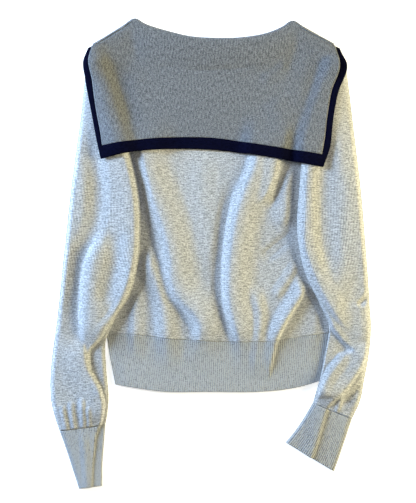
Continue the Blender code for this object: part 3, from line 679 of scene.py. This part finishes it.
# Cuffs: 1 by 1 rib tubes knitted on to the sleeves, which gather a little above them.
# The ribs show on the upper side, and the under side lies flat on the floor.
CUFF_SEAM_GAP = 0.5
CUFF_LEFT = (
    SLEEVE_LEFT[-1], (-198.5, -262, -146, -257), (-190, -288, -148, -284), (-180, -318.9, -148.3, -315),
)
CUFF_RIGHT = (
    SLEEVE_RIGHT[-1], (184, -248, 127.5, -221.5), (176, -272, 115.5, -239.5), (167.5, -295.5, 102, -256),
)
CUFF_RIBS = 26
CUFF_STATIONS = 50
CUFF_RIB_SHARE = 0.7
CUFF_END_SHARE = 0.5
CUFF_FOLDS = {
    "left": {"side": (1.5, 8, 10, ((-176, -236), (-172, -262), (-170, -290), (-167, -330)))},
    "right": {"side": (3.5, 22, 6, ((172, -186), (157, -206), (150, -226), (141, -257), (128, -294)))},
}
for side, rows, tuck in (("left", CUFF_LEFT, LEFT_TUCK), ("right", CUFF_RIGHT, RIGHT_TUCK)):
    length = np.linalg.norm(np.subtract(rows[-1], rows[0])[:2])
    stations = np.linspace(CUFF_SEAM_GAP / length, 1, CUFF_STATIONS)
    across = np.linspace(0, 1, CUFF_RIBS * RIB_STEPS + 1)
    fullness = CUFF_FULLNESS * (1 - (1 - CUFF_END_SHARE) * stations)
    grid = tube_grid(rows, stations, across, tuck, TUCK_SOFTNESS[side], CUFF_FOLDS[side], fullness)
    first = len(across) + EDGE_TURNS
    grid[:, first : first + len(across), 2] += CUFF_RIB_SHARE * RIB_HEIGHT * rib_wave(len(across))
    chart = rib_map(grid.shape[1], first)
    cuff = add_sheet(side + "_cuff", grid, rib_knit_and_shade, closed=True, flip=side == "right", across=chart)
    bind(cuff, "cuff_" + side)

# Collar: the square back of the sailor collar, a closer knit of the same yarn. Its colour is darker than the
# jersey's, partly for the closer knit and partly as painted shade. It is rolled over the neck and the
# shoulders, and lies over the back and the heads of both sleeves.
COLLAR_SEAM_GAP = 0.5
COLLAR_ROLL_RADIUS = 2.4
DRAPE_STEP = 2.5
COLLAR_GAP = 1.2
COLLAR_LOW = (-192.0, 104.0)
COLLAR_HIGH = (202.0, 332.0)
DRAPE_PASSES = 4
BORDER_LEFT = (
    (-166.5, 280, -160.5, 283), (-172.5, 263, -165.5, 264), (-170, 237, -161.5, 237.5),
    (-163, 199, -156.5, 200), (-155.5, 160, -149.5, 163), (-148.5, 129, -147, 147),
)
BORDER_BOTTOM = (
    (-148.5, 129, -147, 147), (-110, 138, -109, 153.5), (-65, 142.5, -65, 158), (-7, 142.5, -6, 158.5),
    (71, 133, 69, 148), (151, 118, 149.7, 135),
)
BORDER_RIGHT = (
    (151, 118, 149.7, 135), (160, 143, 154, 158), (165, 183, 157.5, 186), (172, 219, 163.5, 221),
    (184, 257, 174.5, 258), (174.5, 280, 167.5, 283.5),
)
COLLAR_FOLDS = {
    "left crest": (5.0, 24, 26, (
        (-168, 300), (-158, 264), (-146, 220), (-132, 172), (-124, 148), (-118, 120),
    )),
    "left dip": (-1.5, 16, 22, ((-128, 250), (-116, 205), (-106, 168))),
    "neck crease": (-1.0, 5, 7, ((-84, 258), (-50, 254), (-20, 250), (21, 251), (66, 255))),
    "right soft": (1.6, 26, 18, ((134, 280), (126, 230), (116, 180), (112, 140))),
    "right crease": (1.2, 10, 14, ((104, 262), (88, 246), (66, 238))),
    "lower swell": (1.6, 24, 24, ((84, 214), (96, 184), (92, 160))),
}
NECK_ROLL = 11.0
NECK_ROLL_RUN = 0.36


def spread(tops, combine):
    """Each height combined with the eight around it."""
    padded = np.pad(tops, 1, mode="edge")
    width, depth = tops.shape
    return combine([padded[i : i + width, j : j + depth] for i in range(3) for j in range(3)], axis=0)


def tops_under(pieces, low, high):
    """Tops of the pieces under the collar on a lattice, spread out and evened as a cloth laid on them is."""
    counts = np.ceil((np.array(high) - low) / DRAPE_STEP).astype(int) + 1
    graph = bpy.context.evaluated_depsgraph_get()
    trees = [BVHTree.FromObject(piece, graph) for piece in pieces]
    tops = np.zeros(counts)
    for i in range(counts[0]):
        for j in range(counts[1]):
            x, y = low + DRAPE_STEP * np.array([i, j])
            start = Vector((x * MM, y * MM, 1.0))
            hits = [tree.ray_cast(start, Vector((0, 0, -1)))[0] for tree in trees]
            tops[i, j] = max([hit.z / MM for hit in hits if hit] + [0.0])
    for combine in (np.max,) * DRAPE_PASSES + (np.mean,) * DRAPE_PASSES:
        tops = spread(tops, combine)
    return tops


bpy.context.view_layer.update()
collar_low = np.array(COLLAR_LOW)
collar_tops = tops_under([back, *sleeves], collar_low, COLLAR_HIGH)


def collar_height(x, y):
    """Middle of the collar: clear of what it lies on, with its own soft folds."""
    across = np.clip((x - collar_low[0]) / DRAPE_STEP, 0, collar_tops.shape[0] - 1.001)
    upward = np.clip((y - collar_low[1]) / DRAPE_STEP, 0, collar_tops.shape[1] - 1.001)
    i = across.astype(int)
    j = upward.astype(int)
    a = across - i
    b = upward - j
    near = (1 - b) * collar_tops[i, j] + b * collar_tops[i, j + 1]
    far = (1 - b) * collar_tops[i + 1, j] + b * collar_tops[i + 1, j + 1]
    return (1 - a) * near + a * far + WALL / 2 + COLLAR_GAP + fold_height(COLLAR_FOLDS, x, y)


# Darker than the jersey: partly the closer knit, partly painted shade of the collar as a whole
collar_knit_and_shade = knit(
    "grey_melange_collar_and_shade",
    dark=(0.065, 0.069, 0.074),
    light=(0.275, 0.285, 0.295),
    fleck=(0.0017, 0.0017),
    streak=(0.0016, 0.006),
    wale=0.0019,
    course=0.0019,
    depth=0.0003,
)
COLLAR_COLUMNS = 156
COLLAR_ROWS = 84

# The shoulders stop short of the navy edging, which fills the collar's two upper corners
COLLAR_SHOULDER_LEFT = ((-160, 284.2), *SHOULDER_LEFT[1:])
COLLAR_SHOULDER_RIGHT = (*SHOULDER_RIGHT[:-1], (166.5, 285))
collar_edge = chain((COLLAR_SHOULDER_LEFT, NECK, COLLAR_SHOULDER_RIGHT), (4, 14, 4))
inner_edge = inset_top(collar_edge, COLLAR_ROLL_RADIUS + WALL / 2)
both_edges = np.concatenate([collar_edge, inner_edge], axis=1)
both_edges = spline(both_edges, np.linspace(0, 1, COLLAR_COLUMNS + 1))
roll_centre = both_edges[:, 2:4]
outward = both_edges[:, 0:2] - roll_centre
outward /= np.linalg.norm(outward, axis=1, keepdims=True)
collar_bottom = spline(BORDER_BOTTOM, np.linspace(0, 1, COLLAR_COLUMNS + 1))[:, 2:4] + (0.0, COLLAR_SEAM_GAP)
collar_left = spline(BORDER_LEFT, np.linspace(1, 0, COLLAR_ROWS))[:, 2:4] + (COLLAR_SEAM_GAP, 0.0)
collar_right = spline(BORDER_RIGHT, np.linspace(0, 1, COLLAR_ROWS))[:, 2:4] - (COLLAR_SEAM_GAP, 0.0)
collar_bottom[0] += (COLLAR_SEAM_GAP, 0.0)
collar_bottom[-1] -= (COLLAR_SEAM_GAP, 0.0)
collar_left[0] = collar_bottom[0]
collar_right[0] = collar_bottom[-1]
collar_left[-1] = roll_centre[0]
collar_right[-1] = roll_centre[-1]
collar_plan = coons(collar_bottom, roll_centre, collar_left, collar_right)
upward = np.linspace(0, 1, COLLAR_ROWS)[:, None]
collar_lift = NECK_ROLL * smoothstep((upward - 1 + NECK_ROLL_RUN) / NECK_ROLL_RUN)
collar_grid = raised(collar_plan, collar_height(collar_plan[..., 0], collar_plan[..., 1]) + collar_lift)
rolled = []
for turn in np.radians((15, 30, 45, 60, 75, 90)):
    plan = roll_centre + outward * COLLAR_ROLL_RADIUS * np.sin(turn)
    rolled.append(raised(plan, collar_grid[-1, :, 2] - COLLAR_ROLL_RADIUS * (1 - np.cos(turn))))
wall_top = rolled[-1][:, 2]
for part in (0.5, 1.0):
    foot = wall_top + (LAYER - wall_top) * part
    rolled.append(raised(roll_centre + outward * COLLAR_ROLL_RADIUS, foot))
collar_grid = np.concatenate([collar_grid, np.array(rolled)])
collar = add_sheet("collar_square", collar_grid, collar_knit_and_shade)
bind(collar, "collar_back")

# Collar edging: a flat navy knit band, sewn on edge to edge down both sides of the square and along its
# bottom, and mitred at the two corners.
navy_knit = knit(
    "navy_dense_knit",
    dark=(0.0010, 0.0011, 0.006),
    light=(0.0040, 0.0045, 0.020),
    fleck=(0.002, 0.0015),
    streak=(0.006, 0.0012),
    wale=0.0016,
    course=0.0014,
    depth=0.0002,
    sheen=0.0,
    shine=0.02,
)
EDGING_CROWN = 0.5
EDGING_STEPS = (75, 150, 80)
EDGING_COLUMNS = 9
border_rows = chain((BORDER_LEFT, BORDER_BOTTOM, BORDER_RIGHT), EDGING_STEPS)
across = np.linspace(0, 1, EDGING_COLUMNS)[:, None, None]
border_plan = border_rows[None, :, 0:2] * (1 - across) + border_rows[None, :, 2:4] * across
crown = EDGING_CROWN * np.sin(np.pi * across[..., 0])
border_grid = raised(border_plan, collar_height(border_plan[..., 0], border_plan[..., 1]) + crown)
border = add_sheet("collar_edging", border_grid, navy_knit, flip=True)
bind(border, "border_back")

# Collar ends: the collar's two lapels run down the V-neck on the front, flat on the floor under the front
# panel. Nothing of them shows from above, so they are plain, each with its navy band along the outer edge.
LAPEL_TIP = (3.0, 146.0)
LAPEL_BORDER_WIDTH = 12.0
LAPEL_BORDER_SHARE = 0.45
LAPEL_WAIST = (78.0, 50.0)
LAPEL_SHOULDER = (34.0, 34.0)
LAPEL_TIP_GAP = 2.0
LAPEL_STATIONS = 90
LAPEL_COLUMNS = 16
for side, sign, shoulder in (("left", -1.0, SHOULDER_LEFT), ("right", 1.0, SHOULDER_RIGHT[::-1])):
    tip = np.array(LAPEL_TIP)
    mirror = np.array([sign, 1.0])
    waist = tip + mirror * LAPEL_WAIST
    path = (shoulder[0], waist + mirror * LAPEL_SHOULDER, waist, tip + (sign * LAPEL_TIP_GAP, 0.0))
    stations = np.linspace(0, 1, LAPEL_STATIONS)
    outer = spline(path, stations)
    neck_top = np.array(shoulder[-1], float)
    neck = neck_top + (np.array(FRONT_NECK_TIP) + (sign, 0.0) - neck_top) * stations[:, None]
    way = neck - outer
    length = np.linalg.norm(way, axis=1, keepdims=True)
    way /= length
    band = np.minimum(LAPEL_BORDER_WIDTH, LAPEL_BORDER_SHARE * length)
    edges = (outer, outer + way * band, outer + way * (band + SEAM_GAP), neck)
    for node, finish, slot, start, end, flat in (
        ("border_front_", navy_knit, "navy_knit", edges[0], edges[1], (0.235, 0.0125)),
        ("collar_front_", collar_knit_and_shade, "grey_collar", edges[2], edges[3], (0.20, 0.09)),
    ):
        across = np.linspace(0, 1, LAPEL_COLUMNS)[:, None, None]
        plan = start[None] * (1 - across) + end[None] * across
        grid = raised(plan, np.full(plan.shape[:2], FRONT_LEVEL))
        lapel = add_sheet(node.replace("_front_", "_lapel_") + side, grid, finish, flip=side == "right")
        bind(lapel, node + side)

# Floor, light and camera: a plain white sheet seen from straight above, under a cool window on the left,
# a weaker warm light on the right and a faint one overhead.
bpy.ops.mesh.primitive_plane_add(size=8.0, location=(0, 0, -0.0004))
floor = bpy.context.active_object
floor.name = "floor"
floor_finish = Finish("white_paper")
floor_finish.feed("Base Color", (0.9, 0.9, 0.89, 1))
floor_finish.feed("Roughness", 0.9)
floor_finish.feed("Emission Color", (1.0, 1.0, 0.985, 1))
floor_finish.feed("Emission Strength", 0.62)
floor.data.materials.append(floor_finish.material)


def add_light(name, place, size, power, colour):
    """A rectangular lamp that points at the middle of the garment."""
    lamp = bpy.data.lights.new(name, "AREA")
    lamp.shape = "RECTANGLE"
    lamp.size, lamp.size_y = size
    lamp.energy = power
    lamp.color = colour
    holder = bpy.data.objects.new(name, lamp)
    holder.location = place
    holder.rotation_euler = (-Vector(place)).to_track_quat("-Z", "Y").to_euler()
    bpy.context.collection.objects.link(holder)


add_light("window", (-1.5, 0.65, 0.62), (0.5, 0.8), 56.0, (0.62, 0.86, 1.22))
add_light("warm_side", (1.6, 0.1, 0.60), (0.5, 0.9), 36.0, (1.20, 1.06, 0.62))
add_light("overhead", (0.2, 0.4, 2.2), (1.2, 1.2), 8.0, (1.0, 1.0, 1.0))

world = bpy.data.worlds.new("studio")
world.use_nodes = True
world.node_tree.nodes["Background"].inputs["Color"].default_value = (0.9, 0.95, 1.0, 1)
world.node_tree.nodes["Background"].inputs["Strength"].default_value = 0.1
bpy.context.scene.world = world
bpy.context.scene.view_settings.view_transform = "Standard"

VIEW_CENTRE = (-4.1, 4.1)
VIEW_HEIGHT = 684.0
GARMENT_LEVEL = 6.0
LENS = 85.0
SENSOR = 36.0
camera_data = bpy.data.cameras.new("camera")
camera_data.lens = LENS
camera_data.sensor_fit = "VERTICAL"
camera_data.sensor_height = SENSOR
camera = bpy.data.objects.new("camera", camera_data)
camera_height = VIEW_HEIGHT * LENS / SENSOR + GARMENT_LEVEL
camera.location = Vector((*VIEW_CENTRE, camera_height)) * MM
bpy.context.collection.objects.link(camera)
bpy.context.scene.camera = camera
